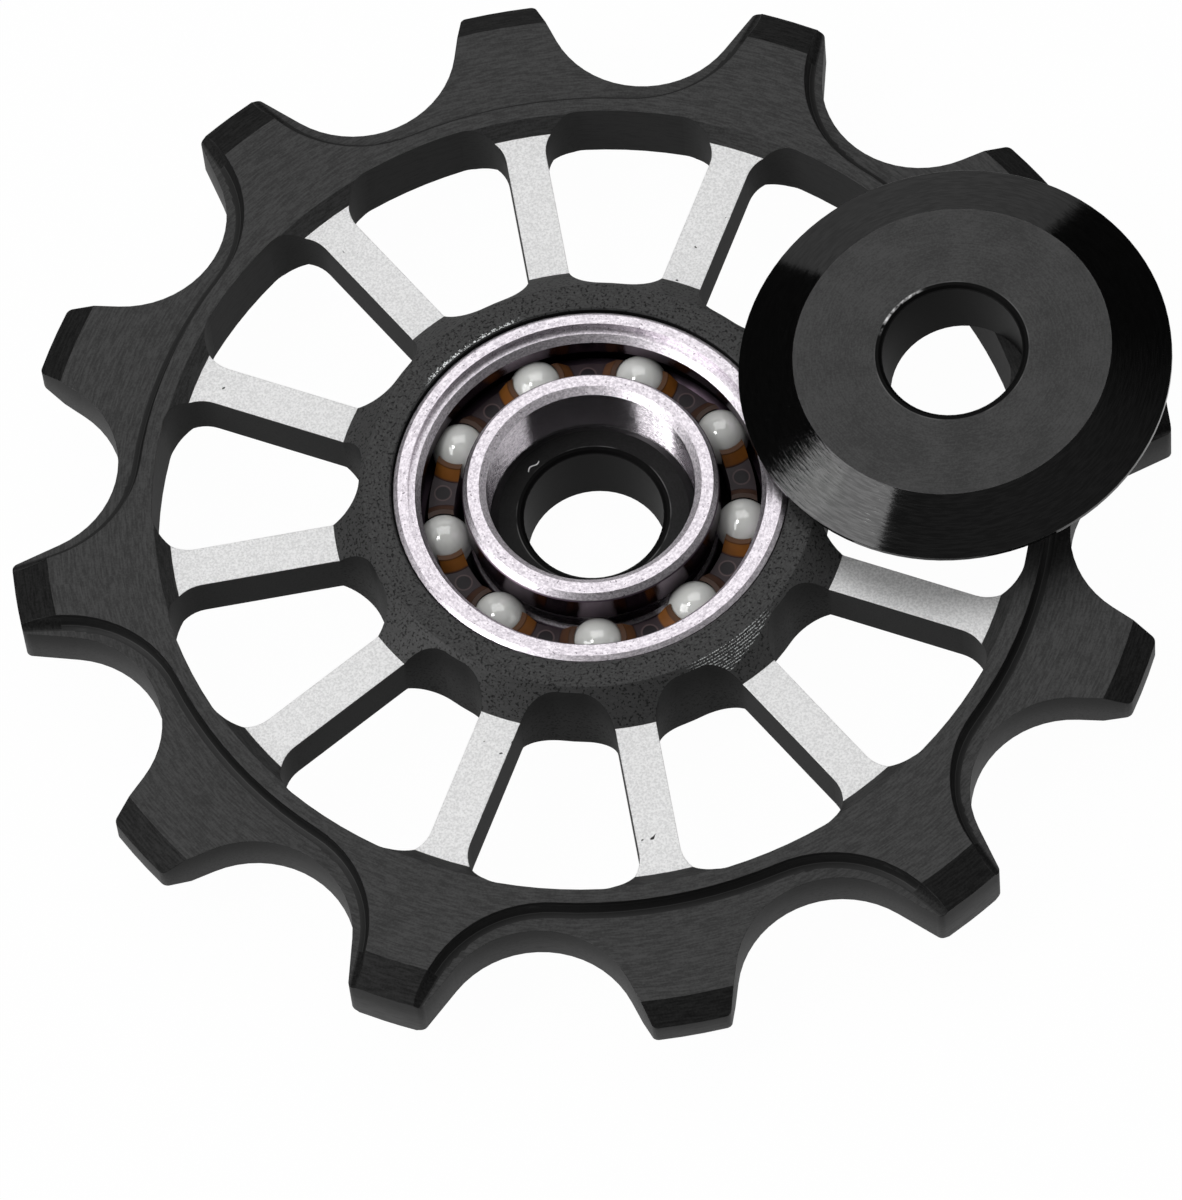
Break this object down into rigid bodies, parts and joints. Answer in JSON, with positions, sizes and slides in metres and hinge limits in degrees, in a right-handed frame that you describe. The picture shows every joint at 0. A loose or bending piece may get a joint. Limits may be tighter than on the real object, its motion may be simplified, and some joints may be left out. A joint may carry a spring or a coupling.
{
  "type": "derailleur jockey wheel",
  "caption": "Toothed jockey wheel with alternating narrow and wide teeth, spoked web, open ball bearing and two end caps, one of them taken off and resting on the wheel.",
  "frame": {"origin": "on the spin axis, in the flat outer face of the lower end cap, on which the wheel lies", "axes": "+Z is the spin axis, pointing to the side where the bearing is open; +X runs along a spoke that ends in a wide tooth, near the loose cap"},
  "size_m": [0.0507, 0.0502, 0.0098],
  "materials": {
    "wheel_anodised": "matte",
    "cap_anodised": "satin",
    "bearing_steel": "satin",
    "ball_ceramic": "polished",
    "cage_polymer": "satin"
  },
  "bodies": {
    "axle_seat": {"bearing_inner_ring": "bearing_steel", "lower_cap": "cap_anodised"},
    "wheel": {"toothed_wheel": "wheel_anodised", "bearing_outer_ring": "bearing_steel", "upper_cap": "cap_anodised"},
    "cage": {"ball_cage": "cage_polymer"},
    "ball_1": {"ball_1": "ball_ceramic"},
    "ball_2": {"ball_2": "ball_ceramic"},
    "ball_3": {"ball_3": "ball_ceramic"},
    "ball_4": {"ball_4": "ball_ceramic"},
    "ball_5": {"ball_5": "ball_ceramic"},
    "ball_6": {"ball_6": "ball_ceramic"},
    "ball_7": {"ball_7": "ball_ceramic"},
    "ball_8": {"ball_8": "ball_ceramic"},
    "ball_9": {"ball_9": "ball_ceramic"}
  },
  "joints": [
    {"name": "wheel_spin", "type": "hinge", "parent": "axle_seat", "child": "wheel", "pos_m": [0, 0, 0.004], "axis": [0, 0, 1], "continuous": true},
    {"name": "cage_spin", "type": "hinge", "parent": "axle_seat", "child": "cage", "pos_m": [0, 0, 0.004], "axis": [0, 0, 1], "continuous": true},
    {"name": "ball_1_spin", "type": "hinge", "parent": "cage", "child": "ball_1", "pos_m": [0.00606, 0.00249, 0.004], "axis": [0, 0, 1], "continuous": true},
    {"name": "ball_2_spin", "type": "hinge", "parent": "cage", "child": "ball_2", "pos_m": [0.00304, 0.0058, 0.004], "axis": [0, 0, 1], "continuous": true},
    {"name": "ball_3_spin", "type": "hinge", "parent": "cage", "child": "ball_3", "pos_m": [-0.0014, 0.0064, 0.004], "axis": [0, 0, 1], "continuous": true},
    {"name": "ball_4_spin", "type": "hinge", "parent": "cage", "child": "ball_4", "pos_m": [-0.00518, 0.00401, 0.004], "axis": [0, 0, 1], "continuous": true},
    {"name": "ball_5_spin", "type": "hinge", "parent": "cage", "child": "ball_5", "pos_m": [-0.00654, -0.00026, 0.004], "axis": [0, 0, 1], "continuous": true},
    {"name": "ball_6_spin", "type": "hinge", "parent": "cage", "child": "ball_6", "pos_m": [-0.00484, -0.00441, 0.004], "axis": [0, 0, 1], "continuous": true},
    {"name": "ball_7_spin", "type": "hinge", "parent": "cage", "child": "ball_7", "pos_m": [-0.00088, -0.00649, 0.004], "axis": [0, 0, 1], "continuous": true},
    {"name": "ball_8_spin", "type": "hinge", "parent": "cage", "child": "ball_8", "pos_m": [0.0035, -0.00554, 0.004], "axis": [0, 0, 1], "continuous": true},
    {"name": "ball_9_spin", "type": "hinge", "parent": "cage", "child": "ball_9", "pos_m": [0.00624, -0.00199, 0.004], "axis": [0, 0, 1], "continuous": true}
  ],
  "couplings": [
    {"joint": "cage_spin", "follows": "wheel_spin", "ratio": 0.59084},
    {"joint": "ball_1_spin", "follows": "wheel_spin", "ratio": 2.6613},
    {"joint": "ball_2_spin", "follows": "wheel_spin", "ratio": 2.6613},
    {"joint": "ball_3_spin", "follows": "wheel_spin", "ratio": 2.6613},
    {"joint": "ball_4_spin", "follows": "wheel_spin", "ratio": 2.6613},
    {"joint": "ball_5_spin", "follows": "wheel_spin", "ratio": 2.6613},
    {"joint": "ball_6_spin", "follows": "wheel_spin", "ratio": 2.6613},
    {"joint": "ball_7_spin", "follows": "wheel_spin", "ratio": 2.6613},
    {"joint": "ball_8_spin", "follows": "wheel_spin", "ratio": 2.6613},
    {"joint": "ball_9_spin", "follows": "wheel_spin", "ratio": 2.6613}
  ]
}
